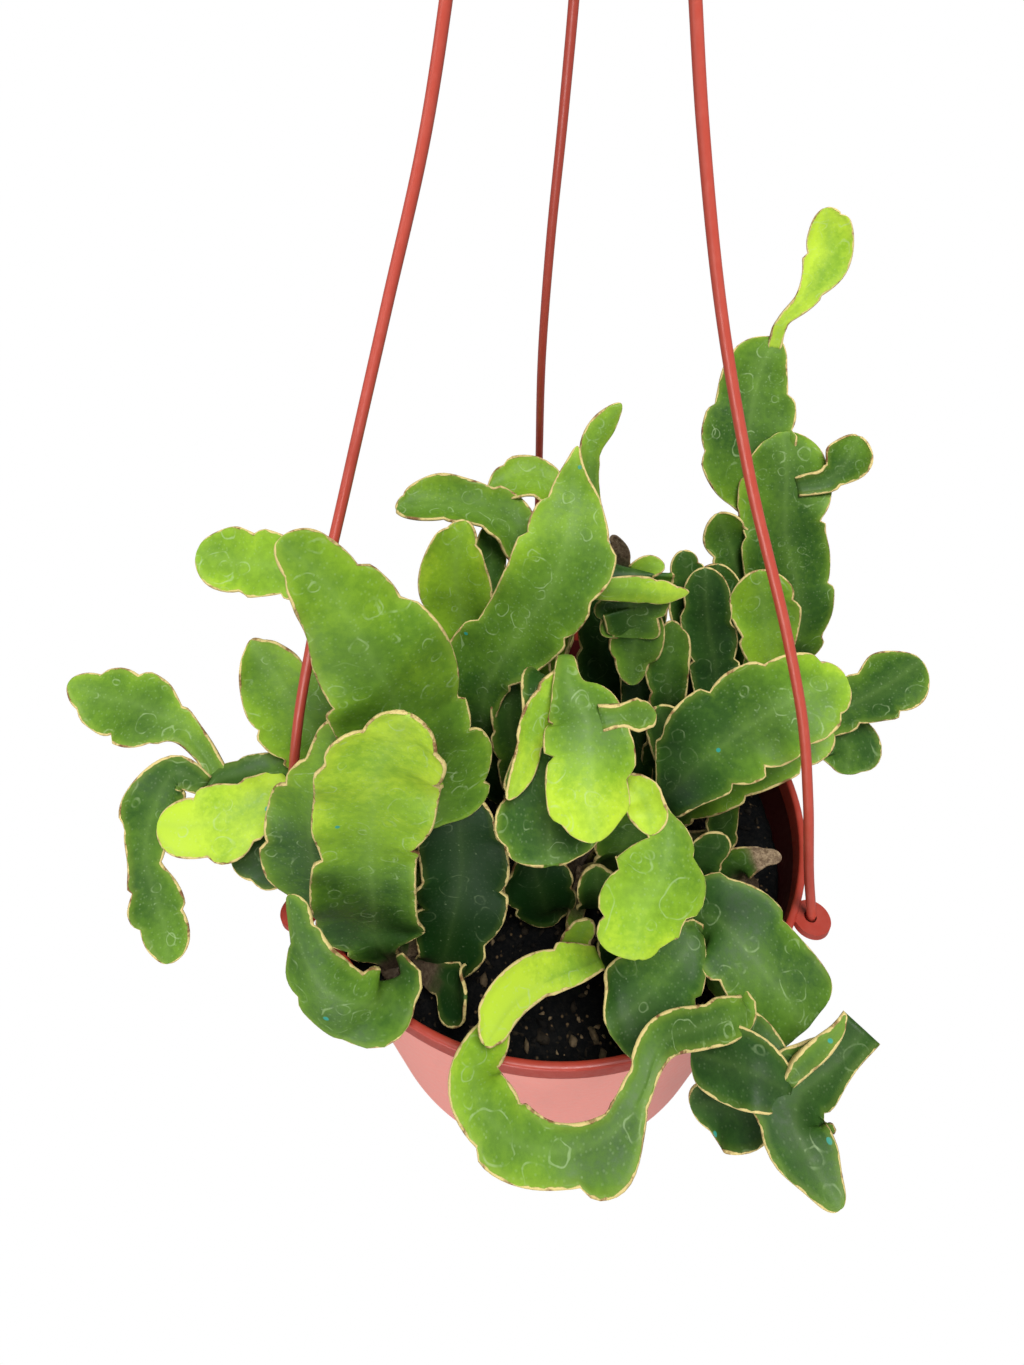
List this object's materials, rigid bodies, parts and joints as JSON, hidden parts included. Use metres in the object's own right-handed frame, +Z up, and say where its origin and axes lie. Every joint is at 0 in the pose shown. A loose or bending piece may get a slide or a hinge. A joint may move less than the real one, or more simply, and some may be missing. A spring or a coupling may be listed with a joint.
{
  "type": "potted orchid cactus",
  "caption": "Orchid cactus with curled, flat leaf-like stems in a round plastic hanging pot with drainage holes, strands and a hook.",
  "frame": {"origin": "the point inside the top of the hook that rests on the rod, nail or bracket that holds the pot up", "axes": "+Z up along the hanger; -Y towards the side from which the plant was seen; +X to that viewer's right"},
  "size_m": [0.2352, 0.1859, 0.4214],
  "materials": {
    "terracotta_plastic": "moulded, slightly worn, satin",
    "hanger_plastic": "moulded, satin",
    "potting_soil": "dark, loose and rough, with bark chips",
    "stem_green": "waxy green with pale corky margins"
  },
  "bodies": {
    "root": {"pot": "terracotta_plastic", "soil": "potting_soil", "hook": "hanger_plastic", "strand_left": "hanger_plastic", "strand_right": "hanger_plastic", "strand_back": "hanger_plastic", "leafy_stem_front_left": "stem_green", "leafy_stem_left": "stem_green", "leafy_stem_back_left": "stem_green", "leafy_stem_centre": "stem_green", "leafy_stem_right": "stem_green", "leafy_stem_back_right": "stem_green", "leafy_stem_front": "stem_green", "cut_stem": "stem_green"}
  },
  "joints": []
}
